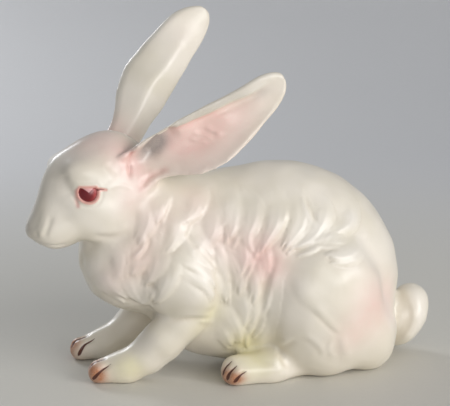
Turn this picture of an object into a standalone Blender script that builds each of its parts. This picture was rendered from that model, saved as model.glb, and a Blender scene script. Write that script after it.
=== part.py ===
# Glazed ceramic rabbit crouching on its four feet, cast as one piece.
# +Z is up, the nose points along -X, and the rabbit's left side faces -Y.
# Places and radii of the figure are in hundredths of its length, from nose to tail.

import math

import bmesh
import bpy
import numpy as np
from mathutils import Euler, Matrix, Vector

LENGTH = 0.230
UNIT = LENGTH / 100

# Mesh sizes, in hundredths of the length
ROUGH_VOXEL = 0.85
FINE_VOXEL = 0.64
TRIANGLES = 9000
EAR_ROWS = 22
EAR_BALLS_ACROSS = 9
EAR_BALL = 1.5

# Each mass is (centre, radii, pitch in degrees, blend). A pair is given for the left side and mirrored.
TRUNK = (
    ((19.5, 0, 19.0), (21.2, 16.0, 22.0), 0, 6),
    ((10.5, 0, 26.5), (24.5, 15.6, 22.2), 0, 8),
    ((0.0, 0, 17.0), (20.0, 12.6, 15.3), 0, 6),
    ((-10.0, 0, 32.5), (17.0, 11.5, 14.5), 0, 6),
    ((-21.8, 0, 28.0), (13.6, 12.5, 13.5), 0, 5),
)
PAIRS = (
    ((-14.0, -8.8, 24.8), (8.8, 7.2, 9.8), 12, 2.4),
    ((-11.2, -10.2, 21.8), (6.8, 6.4, 6.8), 0, 1.2),
    ((19.7, -13.3, 16.75), (13.4, 8.65, 17.0), 0, 2.0),
    ((30.6, -9.1, 8.2), (7.5, 8.55, 9.1), 0, 4),
)
TAIL = ((43.05, 0, 9.1), (5.45, 6.4, 8.15), 29, 1.2)

# Each limb is a chain of (centre, radius), for the left side
NECK = (((-17.0, 0, 36.0), 11.0), ((-24.5, -1.0, 43.0), 9.5))
FORELEG = (
    ((-11.0, -8.8, 16.4), 5.5),
    ((-17.85, -8.7, 9.2), 4.55),
    ((-21.2, -8.3, 5.95), 4.0),
    ((-26.1, -7.9, 3.37), 3.68),
    ((-32.15, -7.6, 2.4), 2.85),
)
RIGHT_FORELEG_LEAD = 2.15
HIND_FOOT = (
    ((18.65, -11.25, 2.4), 2.1),
    ((6.65, -13.1, 2.9), 4.0),
    ((-1.65, -14.5, 2.7), 3.55),
)
HIND_FOOT_WIDTH = 1.2

# The head has its own frame: forwards, to its left, and up, from the middle of the skull
SKULL = (-29.2, -1.5, 46.5)
HEAD_TURN = 17
HEAD = (
    ((0.0, 0, 0.5), (10.5, 8.8, 10.4), 0, 3),
    ((6.7, 0, -2.3), (9.0, 6.8, 10.2), -4, 3),
    ((11.75, 0, -7.6), (6.45, 5.2, 6.8), 0, 2.5),
    ((11.6, 0, -12.25), (4.05, 3.0, 2.1), 0, 2),
    ((17.8, 0, -9.65), (1.9, 2.2, 2.4), 0, 1.5),
)
HEAD_PAIRS = (
    ((2.5, 5.0, -6.0), (9.5, 5.0, 7.4), 0, 3),
    ((13.3, 2.7, -9.45), (4.95, 3.4, 3.8), 17.5, 2.5),
    ((5.6, 5.0, 1.6), (6.4, 3.3, 3.6), -20, 3),
    ((7.4, 5.7, -1.3), (2.9, 2.7, 2.5), 0, 0.8),
)

# Margins of an ear: how far each edge lies from the line between base and tip, along that line
FULL_MARGIN = (
    (0.0, 4.6), (0.18, 6.0), (0.32, 8.1), (0.45, 8.8), (0.6, 8.1), (0.75, 6.7), (0.88, 5.3), (1.0, 4.4),
)
LEAN_MARGIN = (
    (0.0, 3.4), (0.18, 4.4), (0.32, 6.2), (0.45, 7.5), (0.6, 7.4), (0.75, 6.5), (0.88, 5.4), (1.0, 4.4),
)
STRAIGHT_MARGIN = ((0.0, 4.4), (0.25, 4.7), (0.42, 4.5), (0.6, 3.7), (0.78, 3.2), (0.9, 3.2), (1.0, 3.4))
OUTER_MARGIN = ((0.0, 4.4), (0.25, 4.7), (0.42, 4.9), (0.6, 4.6), (0.78, 4.3), (0.9, 4.2), (1.0, 4.0))
EAR_CUP = ((0.0, 0.125), (0.3, 0.095), (0.7, 0.055), (1.0, 0.03))
EAR_ROUND_FROM = 0.84
EAR_RIM = 1.1
EAR_BLEND = 2.0

# Ears: base and tip in the head's frame, the way each one opens in the figure's frame, the margins above and
# below, and how much more the upper margin curls than the lower one
EARS = (
    ((-4.0, 5.5, 3.6), (-35.2, 20.0, 23.4), (-0.07, -0.99, -0.10), STRAIGHT_MARGIN, FULL_MARGIN, 1.6),
    ((-4.2, -5.0, 4.4), (-32.4, -13.0, 35.8), (-0.32, 0.90, -0.30), LEAN_MARGIN, OUTER_MARGIN, 0.9),
)

# Locks of fur, in rows over the side of the figure: (x, z) of the first and last root, how many, how long,
# heading of the first and last in degrees (0 to the rear, 90 up), how far each curls, half width, height, and
# the side of its sharp edge: 1 inside its curl, -1 outside
LOCKS = (
    ((1.0, 42.0), (11.0, 37.5), 3, 10.5, -56, -66, -72, 2.4, 0.9, 1),
    ((19.5, 42.5), (30.0, 34.0), 2, 15.0, -74, -108, -78, 3.2, 1.1, 1),
    ((26.0, 26.0), (33.0, 20.0), 2, 14.0, -150, -128, -40, 2.8, 0.6, 1),
    ((-6.5, 37.0), (0.0, 33.0), 2, 12.0, -52, -60, -62, 2.6, 0.9, 1),
    ((-2.5, 27.0), (3.2, 29.0), 2, 13.0, -58, -74, -56, 2.3, 0.9, 1),
    ((-1.0, 18.5), (3.0, 17.5), 2, 10.5, -66, -76, -50, 2.1, 0.8, 1),
    ((6.5, 30.5), (6.5, 30.5), 1, 23.0, -64, -64, 28, 3.4, 0.9, -1),
    ((22.0, 10.5), (22.0, 10.5), 1, 16.0, 164, 164, 92, 3.2, 0.9, -1),
    ((31.0, 5.5), (31.0, 5.5), 1, 10.0, 180, 180, 24, 2.4, 0.8, -1),
    ((-16.5, 28.0), (-8.5, 34.0), 3, 17.5, -36, -48, -58, 2.3, 1.0, 1),
    ((-9.6, 45.0), (-3.6, 43.5), 2, 11.0, -66, -60, -66, 2.5, 0.9, 1),
    ((-18.5, 45.0), (-14.0, 38.0), 2, 11.0, -88, -80, -34, 2.4, 0.8, 1),
    ((-24.5, 37.0), (-20.0, 32.0), 2, 10.0, -86, -72, -44, 2.2, 0.85, 1),
    ((-30.0, 30.0), (-22.0, 27.0), 2, 10.5, -84, -80, -38, 2.8, 0.95, 1),
)
LOCK_STEPS = 12
GROOVE_DEPTH = 0.5
SOFT_SIDE = 1.6
MIDLINE = 5.0

GLAZE = (0.83, 0.79, 0.73, 1.0)


def clear_scene():
    for old in list(bpy.data.objects):
        bpy.data.objects.remove(old)


def through(t, stations):
    """A smooth curve through (position, value) stations, read at t."""
    at = np.array([s[0] for s in stations], float)
    value = np.array([s[1] for s in stations], float)
    slope = np.gradient(value, at)
    t = np.clip(t, at[0], at[-1])
    i = np.clip(np.searchsorted(at, t, side="right") - 1, 0, len(at) - 2)
    span = at[i + 1] - at[i]
    s = (t - at[i]) / span
    return (
        value[i] * (1 + 2 * s) * (1 - s) ** 2
        + slope[i] * span * s * (1 - s) ** 2
        + value[i + 1] * s * s * (3 - 2 * s)
        + slope[i + 1] * span * s * s * (s - 1)
    )


def smooth_union(first, second, blend):
    share = np.clip(0.5 + 0.5 * (second - first) / blend, 0, 1)
    return second + (first - second) * share - blend * share * (1 - share)


def length_of(v):
    return np.sqrt((v * v).sum(axis=1))


def from_ellipsoid(p, centre, radii, pitch):
    turn = np.array(Euler((0, math.radians(pitch), 0)).to_matrix())
    q = (p - np.array(centre)) @ turn
    radii = np.array(radii, float)
    near = length_of(q / radii)
    return near * (near - 1) / np.maximum(length_of(q / radii**2), 1e-6)


def from_limb(p, chain, width=1.0):
    """Distance from a chain of tapering rods, wider than tall by width."""
    found = None
    for (a, ra), (b, rb) in zip(chain, chain[1:]):
        a, b = np.array(a, float), np.array(b, float)
        along = np.clip((p - a) @ (b - a) / ((b - a) @ (b - a)), 0, 1)[:, None]
        away = p - (a + along * (b - a))
        away[:, 1] /= width
        d = length_of(away) - (ra + along[:, 0] * (rb - ra))
        found = d if found is None else smooth_union(found, d, 2.0)
    return found


def head_frame():
    """Columns: forwards, to the head's left, up."""
    turn = math.radians(HEAD_TURN)
    return np.array(
        [
            [-math.cos(turn), math.sin(turn), 0],
            [-math.sin(turn), -math.cos(turn), 0],
            [0, 0, 1],
        ]
    )


def to_figure(head_point):
    return np.array(SKULL) + head_frame() @ np.array(head_point, float)


def ear_frame(base, tip, opening):
    """Base point, length, and the directions along the ear, across it to the upper rim, and out of it."""
    start, end = to_figure(base), to_figure(tip)
    span = np.linalg.norm(end - start)
    along = (end - start) / span
    out = np.array(opening, float)
    out -= (out @ along) * along
    out /= np.linalg.norm(out)
    across = np.cross(out, along)
    if across[2] < 0:
        across = -across
    return start, span, along, across, out


def ear_sheet(t, a, ear):
    """How far the ear's edge is from its line at t, and how far its sheet is cupped at a to one side."""
    _, _, _, upper, lower, curl = ear
    end = np.clip((t - EAR_ROUND_FROM) / (1 - EAR_ROUND_FROM), 0, 1)
    edge = np.where(a > 0, through(t, upper), through(t, lower)) * np.sqrt(1 - end * end)
    cup = through(t, EAR_CUP) * np.where(a > 0, curl, 1.0) * a * a
    return edge, cup


def from_ear(p, ear):
    start, span, along, across, out = ear_frame(*ear[:3])
    q = p - start
    s, a, n = q @ along, q @ across, q @ out
    edge, cup = ear_sheet(s / span, a, ear)
    beyond = np.maximum(np.maximum(-s, s - span), 0)
    outside = np.maximum(np.abs(a) - edge + EAR_RIM, 0)
    return np.sqrt(outside**2 + (n - cup) ** 2 + beyond**2) - EAR_RIM


def mirrored(centre):
    return (centre[0], -centre[1], centre[2])


def from_rabbit(p):
    """Signed distance from the figure's smooth form, without its fur."""
    d = None
    for centre, radii, pitch, blend in TRUNK:
        e = from_ellipsoid(p, centre, radii, pitch)
        d = e if d is None else smooth_union(d, e, blend)
    for centre, radii, pitch, blend in PAIRS:
        for place in (centre, mirrored(centre)):
            d = smooth_union(d, from_ellipsoid(p, place, radii, pitch), blend)
    flipped = p * np.array([1, -1, 1])
    d = smooth_union(d, from_limb(p, NECK), 4)
    d = smooth_union(d, from_limb(p, FORELEG), 0.9)
    lead = np.array([RIGHT_FORELEG_LEAD, RIGHT_FORELEG_LEAD, 0])
    d = smooth_union(d, from_limb(flipped + lead, FORELEG), 0.9)
    for side in (p, flipped):
        d = smooth_union(d, from_limb(side, HIND_FOOT, HIND_FOOT_WIDTH), 1.4)
    d = smooth_union(d, from_ellipsoid(p, *TAIL[:3]), TAIL[3])
    h = (p - np.array(SKULL)) @ head_frame()
    head = None
    for centre, radii, pitch, blend in HEAD:
        e = from_ellipsoid(h, centre, radii, pitch)
        head = e if head is None else smooth_union(head, e, blend)
    for centre, radii, pitch, blend in HEAD_PAIRS:
        for place in (centre, mirrored(centre)):
            head = smooth_union(head, from_ellipsoid(h, place, radii, pitch), blend)
    for ear in EARS:
        head = smooth_union(head, from_ear(p, ear), EAR_BLEND)
    return smooth_union(d, head, 2.5)


def outward(p, step=0.02):
    """The field and its slope at each point."""
    here = from_rabbit(p)
    slope = np.empty_like(p)
    for axis in range(3):
        nudge = np.zeros(3)
        nudge[axis] = step
        slope[:, axis] = (from_rabbit(p + nudge) - here) / step
    return here, slope


def add_ball(mesh, centre, radii, turn=None, faces=3):
    """A rough ball that covers one mass of the figure."""
    place = Matrix.Translation(Vector(centre)) @ (turn or Matrix.Identity(4)) @ Matrix.Diagonal((*radii, 1))
    bmesh.ops.create_icosphere(mesh, subdivisions=faces, radius=1, matrix=place)


def rough_shape():
    """Overlapping balls in the place of each mass, limb and ear."""
    mesh = bmesh.new()
    for centre, radii, pitch, _ in (*TRUNK, TAIL):
        add_ball(mesh, centre, radii, Matrix.Rotation(math.radians(pitch), 4, "Y"))
    for centre, radii, pitch, _ in PAIRS:
        for place in (centre, mirrored(centre)):
            add_ball(mesh, place, radii, Matrix.Rotation(math.radians(pitch), 4, "Y"))
    for chain, width, lead in ((NECK, 1, 0), (FORELEG, 1, RIGHT_FORELEG_LEAD), (HIND_FOOT, HIND_FOOT_WIDTH, 0)):
        for (a, ra), (b, rb) in zip(chain, chain[1:]):
            steps = max(2, round((Vector(b) - Vector(a)).length / min(ra, rb) * 1.5))
            for i in range(steps + 1):
                share = i / steps
                centre = Vector(a).lerp(Vector(b), share)
                radius = ra + (rb - ra) * share
                for place in (centre, Vector(mirrored(centre)) + Vector((-lead, lead, 0))):
                    add_ball(mesh, place, (radius, radius * width, radius))
    turn = Matrix(head_frame()).to_4x4()
    for centre, radii, _, _ in HEAD:
        add_ball(mesh, to_figure(centre), radii, turn)
    for centre, radii, _, _ in HEAD_PAIRS:
        for place in (centre, mirrored(centre)):
            add_ball(mesh, to_figure(place), radii, turn)
    for ear in EARS:
        start, span, along, across, out = ear_frame(*ear[:3])
        for t in np.linspace(0, 1 - EAR_RIM / span, EAR_ROWS):
            edges = [ear_sheet(np.array([t]), np.array([side]), ear)[0][0] for side in (1.0, -1.0)]
            reach = [float(edge) - EAR_RIM for edge in edges]
            for a in np.linspace(-max(reach[1], 0), max(reach[0], 0), EAR_BALLS_ACROSS):
                cup = float(ear_sheet(np.array([t]), np.array([a]), ear)[1][0])
                add_ball(mesh, start + along * t * span + across * a + out * cup, (EAR_BALL,) * 3, faces=2)
    return mesh


def remeshed(mesh, voxel):
    """The mesh as one closed skin of even faces."""
    holder = bpy.data.objects.new("skin", bpy.data.meshes.new("skin"))
    mesh.to_mesh(holder.data)
    mesh.free()
    bpy.context.scene.collection.objects.link(holder)
    remesh = holder.modifiers.new("voxels", "REMESH")
    remesh.mode = "VOXEL"
    remesh.voxel_size = voxel
    graph = bpy.context.evaluated_depsgraph_get()
    skin = bmesh.new()
    skin.from_mesh(holder.evaluated_get(graph).to_mesh())
    bpy.data.objects.remove(holder)
    return skin


def points_of(mesh):
    return np.array([v.co for v in mesh.verts])


def set_points(mesh, points):
    for vertex, point in zip(mesh.verts, points):
        vertex.co = point


def drawn_to_form(mesh, rounds):
    """Moves each vertex onto the smooth form, and evens the faces between the moves."""
    for _ in range(rounds):
        bmesh.ops.smooth_vert(
            mesh, verts=mesh.verts, factor=0.5, use_axis_x=True, use_axis_y=True, use_axis_z=True
        )
        points = points_of(mesh)
        for _ in range(2):
            here, slope = outward(points)
            steep = np.maximum((slope * slope).sum(axis=1), 0.05)
            move = slope * (here / steep)[:, None]
            far = np.maximum(length_of(move) / 1.5, 1)
            points -= move / far[:, None]
        set_points(mesh, points)
    return mesh


def lock_paths():
    """The line of each lock from root to tip, its half width and height, and where its sharp edge lies."""
    for first, last, count, reach, heading, last_heading, curl, width, height, side in LOCKS:
        for i in range(count):
            share = i / max(count - 1, 1)
            point = np.array(first, float) * (1 - share) + np.array(last, float) * share
            start = heading * (1 - share) + last_heading * share
            path = [point]
            for step in range(LOCK_STEPS):
                bearing = math.radians(start + curl * (step + 0.5) / LOCK_STEPS)
                point = point + np.array([math.cos(bearing), math.sin(bearing)]) * reach / LOCK_STEPS
                path.append(point)
            yield np.array(path), width, height, math.copysign(side, curl * side)


def fur_height(sides):
    """How far the fur stands out at each (x, z) point of a side."""
    rise = np.zeros(len(sides))
    for path, width, height, edge in lock_paths():
        margin = width * 2.6
        near = np.all((sides > path.min(axis=0) - margin) & (sides < path.max(axis=0) + margin), axis=1)
        q = sides[near]
        best = np.full(len(q), 1e9)
        along = np.zeros(len(q))
        sharp = np.zeros(len(q), bool)
        for step, (a, b) in enumerate(zip(path, path[1:])):
            t = np.clip((q - a) @ (b - a) / ((b - a) @ (b - a)), 0, 1)
            away = q - (a + t[:, None] * (b - a))
            closer = length_of(away) < best
            best = np.where(closer, length_of(away), best)
            along = np.where(closer, (step + t) / LOCK_STEPS, along)
            sharp = np.where(closer, ((b - a)[0] * away[:, 1] - (b - a)[1] * away[:, 0]) * edge > 0, sharp)
        breadth = width * np.sqrt(np.clip(along * 3, 0.04, 1)) * (1.03 - along**3)
        u = best / breadth / np.where(sharp, 1.0, SOFT_SIDE)
        crown = np.clip(1 - u * u, 0, 1) ** 1.5
        groove = GROOVE_DEPTH * np.exp(-(((u - 1.2) / 0.3) ** 2)) * np.where(sharp, 1.0, 0.25)
        swell = np.sin(np.pi * np.clip(along, 0, 1) ** 1.3 * 0.88) * height
        rise[near] += (crown - groove) * swell
    return rise


def furred(mesh):
    """Raises the locks over both sides of the figure."""
    points = points_of(mesh)
    mesh.normal_update()
    normals = np.array([v.normal for v in mesh.verts])
    sideways = np.clip(np.abs(points[:, 1]) / MIDLINE, 0, 1) * np.clip(np.abs(normals[:, 1]) * 1.6, 0, 1)
    body = points[:, 2] < 46.5
    rise = fur_height(points[:, [0, 2]]) * sideways * body
    set_points(mesh, points + normals * rise[:, None])
    bmesh.ops.smooth_vert(
        mesh, verts=mesh.verts, factor=0.3, use_axis_x=True, use_axis_y=True, use_axis_z=True
    )
    return mesh


def cut_at_ground(mesh):
    """Cuts the figure flat at the ground, and closes the soles."""
    everything = mesh.verts[:] + mesh.edges[:] + mesh.faces[:]
    cut = bmesh.ops.bisect_plane(
        mesh, geom=everything, plane_co=(0, 0, 0), plane_no=(0, 0, 1), clear_inner=True
    )
    rims = [e for e in cut["geom_cut"] if isinstance(e, bmesh.types.BMEdge)]
    bmesh.ops.triangle_fill(mesh, edges=rims, use_beauty=True, normal=(0, 0, -1))


def thinned(mesh, triangles):
    """The mesh with fewer faces, where its form is plainest."""
    holder = bpy.data.objects.new("thin", bpy.data.meshes.new("thin"))
    bmesh.ops.triangulate(mesh, faces=mesh.faces)
    count = len(mesh.faces)
    mesh.to_mesh(holder.data)
    mesh.free()
    bpy.context.scene.collection.objects.link(holder)
    decimate = holder.modifiers.new("fewer", "DECIMATE")
    decimate.ratio = triangles / count
    graph = bpy.context.evaluated_depsgraph_get()
    thin = bmesh.new()
    thin.from_mesh(holder.evaluated_get(graph).to_mesh())
    bpy.data.objects.remove(holder)
    return thin


def finished(mesh):
    """The rabbit in metres, standing on the ground over the origin."""
    points = points_of(mesh)
    middle = (points.min(axis=0) + points.max(axis=0)) / 2
    set_points(mesh, (points - np.array([middle[0], middle[1], 0])) * UNIT)
    rabbit = bpy.data.objects.new("rabbit", bpy.data.meshes.new("rabbit"))
    mesh.to_mesh(rabbit.data)
    mesh.free()
    rabbit.data.shade_smooth()
    glaze = bpy.data.materials.new("glazed ceramic")
    glaze.use_nodes = True
    surface = glaze.node_tree.nodes["Principled BSDF"].inputs
    surface["Base Color"].default_value = GLAZE
    surface["Roughness"].default_value = 0.18
    rabbit.data.materials.append(glaze)
    bpy.context.scene.collection.objects.link(rabbit)


def main():
    clear_scene()
    skin = drawn_to_form(remeshed(rough_shape(), ROUGH_VOXEL), 4)
    skin = furred(drawn_to_form(remeshed(skin, FINE_VOXEL), 3))
    skin = thinned(skin, TRIANGLES)
    cut_at_ground(skin)
    finished(skin)


main()
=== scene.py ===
# Glazed ceramic rabbit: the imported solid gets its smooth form, fur, face, toes and painted glaze.
# Figure measures are in hundredths of the length from nose to tail; the nose points along -X.

import math

import bmesh
import bpy
import numpy as np
from mathutils import Euler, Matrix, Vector


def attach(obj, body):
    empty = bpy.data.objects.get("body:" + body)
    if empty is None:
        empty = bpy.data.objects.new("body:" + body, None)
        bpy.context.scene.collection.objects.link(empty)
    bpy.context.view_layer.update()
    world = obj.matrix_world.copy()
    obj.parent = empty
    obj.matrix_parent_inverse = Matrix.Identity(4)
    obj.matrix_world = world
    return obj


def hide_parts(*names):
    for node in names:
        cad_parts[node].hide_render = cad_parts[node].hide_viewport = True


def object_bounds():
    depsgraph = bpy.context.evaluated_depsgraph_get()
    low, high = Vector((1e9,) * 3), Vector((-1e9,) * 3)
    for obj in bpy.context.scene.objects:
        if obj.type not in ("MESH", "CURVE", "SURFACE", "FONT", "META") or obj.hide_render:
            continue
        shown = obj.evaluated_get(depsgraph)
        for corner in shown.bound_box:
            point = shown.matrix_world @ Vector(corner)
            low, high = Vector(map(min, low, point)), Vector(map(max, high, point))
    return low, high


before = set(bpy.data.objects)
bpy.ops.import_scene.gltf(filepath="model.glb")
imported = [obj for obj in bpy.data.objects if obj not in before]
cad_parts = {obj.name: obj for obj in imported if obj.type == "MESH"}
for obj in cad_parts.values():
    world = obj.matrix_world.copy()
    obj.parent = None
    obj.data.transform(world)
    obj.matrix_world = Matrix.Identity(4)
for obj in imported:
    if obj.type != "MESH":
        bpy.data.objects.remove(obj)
cadLow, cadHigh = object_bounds()
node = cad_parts["rabbit"]
print("stage 1: packed rabbit loaded")

unit = 0.0023  # metres in one hundredth of the length
middle = np.array([0.561, 0.0, 0.0])  # where the origin lies in the figure's own measures

# How the even skin is made, in the figure's measures
skin = {
    "voxel": 0.87,
    "weld": 0.001,
    "soleRound": 0.35,
    "rimRounds": 3,
    "firstRounds": 2,
    "lastRounds": 4,
    "ease": 0.5,
    "leastSlope": 0.05,
    "longestStep": 1.5,
    "lastEase": 0.35,
    "rimMargin": 1.3,
    "rimBox": ((0.02, -9.6, -3), (1.03, 9.6, 3)),  # share of an ear's length, across and out
}

# Each mass is centre, radii, pitch in degrees and blend; pairs are given for the left side
body = {
    "trunk": (
        ((19.5, 0, 19.0), (21.2, 16.0, 22.0), 0, 6),
        ((10.5, 0, 26.5), (24.5, 15.6, 22.2), 0, 8),
        ((0.0, 0, 17.0), (20.0, 12.6, 15.3), 0, 6),
        ((-10.0, 0, 32.5), (17.0, 11.5, 14.5), 0, 6),
        ((-21.8, 0, 28.0), (13.6, 12.5, 13.5), 0, 5),
    ),
    "pairs": (
        ((-14.0, -8.8, 24.8), (8.8, 7.2, 9.8), 12, 2.4),
        ((-11.2, -10.2, 21.8), (6.8, 6.4, 6.8), 0, 1.2),
        ((19.7, -13.3, 16.75), (13.4, 8.65, 17.0), 0, 2.0),
        ((30.6, -9.1, 8.2), (7.5, 8.55, 9.1), 0, 4),
    ),
    "tail": ((43.05, 0, 9.1), (5.45, 6.4, 8.15), 29, 1.2),
    "limbBlend": 2.0,
    "neckBlend": 4,
    "legBlend": 0.9,
    "footBlend": 1.4,
    "neck": (((-17.0, 0, 36.0), 11.0), ((-24.5, -1.0, 43.0), 9.5)),
    "foreleg": (
        ((-11.0, -8.8, 16.4), 5.5),
        ((-17.85, -8.7, 9.2), 4.55),
        ((-21.2, -8.3, 5.95), 4.0),
        ((-26.1, -7.9, 3.37), 3.68),
        ((-32.15, -7.6, 2.4), 2.85),
    ),
    "rightForelegLead": 2.15,
    "hindFoot": (
        ((18.65, -11.25, 2.4), 2.1),
        ((6.65, -13.1, 2.9), 4.0),
        ((-1.65, -14.5, 2.7), 3.55),
    ),
    "hindFootWidth": 1.2,
}
# The right foreleg stands further on than the left one
lead = np.array([body["rightForelegLead"], body["rightForelegLead"], 0])

head = {
    "skull": (-29.2, -1.5, 46.5),
    "turn": 17,  # degrees to its left
    "blend": 2.5,
    "masses": (
        ((0.0, 0, 0.5), (10.5, 8.8, 10.4), 0, 3),
        ((6.7, 0, -2.3), (9.0, 6.8, 10.2), -4, 3),
        ((11.75, 0, -7.6), (6.45, 5.2, 6.8), 0, 2.5),
        ((11.6, 0, -12.25), (4.05, 3.0, 2.1), 0, 2),
        ((17.8, 0, -9.65), (1.9, 2.2, 2.4), 0, 1.5),
    ),
    "pairs": (
        ((2.5, 5.0, -6.0), (9.5, 5.0, 7.4), 0, 3),
        ((13.3, 2.7, -9.45), (4.95, 3.4, 3.8), 17.5, 2.5),
        ((5.6, 5.0, 1.6), (6.4, 3.3, 3.6), -20, 3),
        ((7.4, 5.7, -1.3), (2.9, 2.7, 2.5), 0, 0.8),
    ),
}

# Ear margins: distance of the edge from the line between base and tip, along that line
fullMargin = (
    (0.0, 4.6), (0.18, 6.0), (0.32, 8.1), (0.45, 8.8), (0.6, 8.1), (0.75, 6.7), (0.88, 5.3), (1.0, 4.4),
)
leanMargin = (
    (0.0, 3.4), (0.18, 4.4), (0.32, 6.2), (0.45, 7.5), (0.6, 7.4), (0.75, 6.5), (0.88, 5.4), (1.0, 4.4),
)
straightMargin = ((0.0, 4.4), (0.25, 4.7), (0.42, 4.5), (0.6, 3.7), (0.78, 3.2), (0.9, 3.2), (1.0, 3.4))
outerMargin = ((0.0, 4.4), (0.25, 4.7), (0.42, 4.9), (0.6, 4.6), (0.78, 4.3), (0.9, 4.2), (1.0, 4.0))
ears = {  # base, tip and way it opens, upper and lower margin, and how much its upper half curls
    "left": (
        (-4.0, 5.5, 3.6), (-35.2, 20.0, 23.4), (-0.07, -0.99, -0.10), straightMargin, fullMargin, 1.6,
    ),
    "right": (
        (-4.2, -5.0, 4.4), (-32.4, -13.0, 35.8), (-0.32, 0.90, -0.30), leanMargin, outerMargin, 0.9,
    ),
    "cup": ((0.0, 0.125), (0.3, 0.095), (0.7, 0.055), (1.0, 0.03)),
    "roundFrom": 0.84,
    "rim": 1.1,
    "inset": 0.6,
    "rimFrom": 0.07,
    "rimTo": 0.95,
    "rimReach": (1.5, 2.2),  # beyond the edge, and to each side of the sheet
    "blend": 2.0,
}


# A smooth curve through stations of place and value
def through(t, stations):
    at = np.array([s[0] for s in stations], float)
    value = np.array([s[1] for s in stations], float)
    slope = np.gradient(value, at)
    t = np.clip(t, at[0], at[-1])
    i = np.clip(np.searchsorted(at, t, side="right") - 1, 0, len(at) - 2)
    span = at[i + 1] - at[i]
    s = (t - at[i]) / span
    return (
        value[i] * (1 + 2 * s) * (1 - s) ** 2
        + slope[i] * span * s * (1 - s) ** 2
        + value[i + 1] * s * s * (3 - 2 * s)
        + slope[i + 1] * span * s * s * (s - 1)
    )


def smoothUnion(first, second, blend):
    share = np.clip(0.5 + 0.5 * (second - first) / blend, 0, 1)
    return second + (first - second) * share - blend * share * (1 - share)


def lengthOf(v):
    return np.sqrt((v * v).sum(axis=1))


def smoothStep(low, high, value):
    t = np.clip((value - low) / (high - low), 0, 1)
    return t * t * (3 - 2 * t)


def fromEllipsoid(p, centre, radii, pitch):
    turn = np.array(Euler((0, math.radians(pitch), 0)).to_matrix())
    q = (p - np.array(centre)) @ turn
    radii = np.array(radii, float)
    near = lengthOf(q / radii)
    return near * (near - 1) / np.maximum(lengthOf(q / radii**2), 1e-6)


def fromLimb(p, chain, width=1.0):
    found = None
    for (a, ra), (b, rb) in zip(chain, chain[1:]):
        a, b = np.array(a, float), np.array(b, float)
        along = np.clip((p - a) @ (b - a) / ((b - a) @ (b - a)), 0, 1)[:, None]
        away = p - (a + along * (b - a))
        away[:, 1] /= width
        d = lengthOf(away) - (ra + along[:, 0] * (rb - ra))
        found = d if found is None else smoothUnion(found, d, body["limbBlend"])
    return found


def headFrame():
    turn = math.radians(head["turn"])  # columns: forwards, to the head's left, up
    return np.array(
        [[-math.cos(turn), math.sin(turn), 0], [-math.sin(turn), -math.cos(turn), 0], [0, 0, 1]]
    )


def toFigure(headPoint):
    return np.array(head["skull"]) + headFrame() @ np.array(headPoint, float)


def toHead(p):
    return (p - np.array(head["skull"])) @ headFrame()


def earFrame(base, tip, opening):
    start, end = toFigure(base), toFigure(tip)
    span = np.linalg.norm(end - start)
    along = (end - start) / span
    out = np.array(opening, float)
    out -= (out @ along) * along
    out /= np.linalg.norm(out)
    across = np.cross(out, along)
    if across[2] < 0:
        across = -across
    return start, span, along, across, out


def earSheet(t, a, ear):
    upper, lower, curl = ear[3:]
    end = np.clip((t - ears["roundFrom"]) / (1 - ears["roundFrom"]), 0, 1)
    edge = np.where(a > 0, through(t, upper), through(t, lower)) * np.sqrt(1 - end * end)
    cup = through(t, ears["cup"]) * np.where(a > 0, curl, 1.0) * a * a
    return edge, cup


def earPlace(p, ear):
    start, span, along, across, out = earFrame(*ear[:3])
    q = p - start
    return (q @ along) / span, q @ across, q @ out, span


def fromEar(p, ear):
    t, a, n, span = earPlace(p, ear)
    edge, cup = earSheet(t, a, ear)
    beyond = np.maximum(np.maximum(-t * span, (t - 1) * span), 0)
    outside = np.maximum(np.abs(a) - edge + ears["rim"], 0)
    return np.sqrt(outside**2 + (n - cup) ** 2 + beyond**2) - ears["rim"]


def mirrored(centre):
    return (centre[0], -centre[1], centre[2])


# Distance from the figure's smooth form, less than zero inside it
def fromRabbit(p):
    d = None
    for centre, radii, pitch, blend in body["trunk"]:
        e = fromEllipsoid(p, centre, radii, pitch)
        d = e if d is None else smoothUnion(d, e, blend)
    for centre, radii, pitch, blend in body["pairs"]:
        for place in (centre, mirrored(centre)):
            d = smoothUnion(d, fromEllipsoid(p, place, radii, pitch), blend)
    flipped = p * np.array([1, -1, 1])
    d = smoothUnion(d, fromLimb(p, body["neck"]), body["neckBlend"])
    for side in (p, flipped + lead):
        d = smoothUnion(d, fromLimb(side, body["foreleg"]), body["legBlend"])
    for side in (p, flipped):
        d = smoothUnion(d, fromLimb(side, body["hindFoot"], body["hindFootWidth"]), body["footBlend"])
    d = smoothUnion(d, fromEllipsoid(p, *body["tail"][:3]), body["tail"][3])
    h = toHead(p)
    found = None
    for centre, radii, pitch, blend in head["masses"]:
        e = fromEllipsoid(h, centre, radii, pitch)
        found = e if found is None else smoothUnion(found, e, blend)
    for centre, radii, pitch, blend in head["pairs"]:
        for place in (centre, mirrored(centre)):
            found = smoothUnion(found, fromEllipsoid(h, place, radii, pitch), blend)
    for ear in (ears["left"], ears["right"]):
        found = smoothUnion(found, fromEar(p, ear), ears["blend"])
    d = smoothUnion(d, found, head["blend"])
    return -smoothUnion(-d, p[:, 2], skin["soleRound"])


def outward(p, step=0.02):
    here = fromRabbit(p)
    slope = np.empty_like(p)
    for axis in range(3):
        nudge = np.zeros(3)
        nudge[axis] = step
        slope[:, axis] = (fromRabbit(p + nudge) - here) / step
    return here, slope


def pointsOf(mesh):
    flat = np.empty(len(mesh.vertices) * 3)
    mesh.vertices.foreach_get("co", flat)
    return flat.reshape(-1, 3) / unit + middle


def setPoints(mesh, points):
    mesh.vertices.foreach_set("co", ((points - middle) * unit).astype(np.float32).ravel())
    mesh.update()


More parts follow.
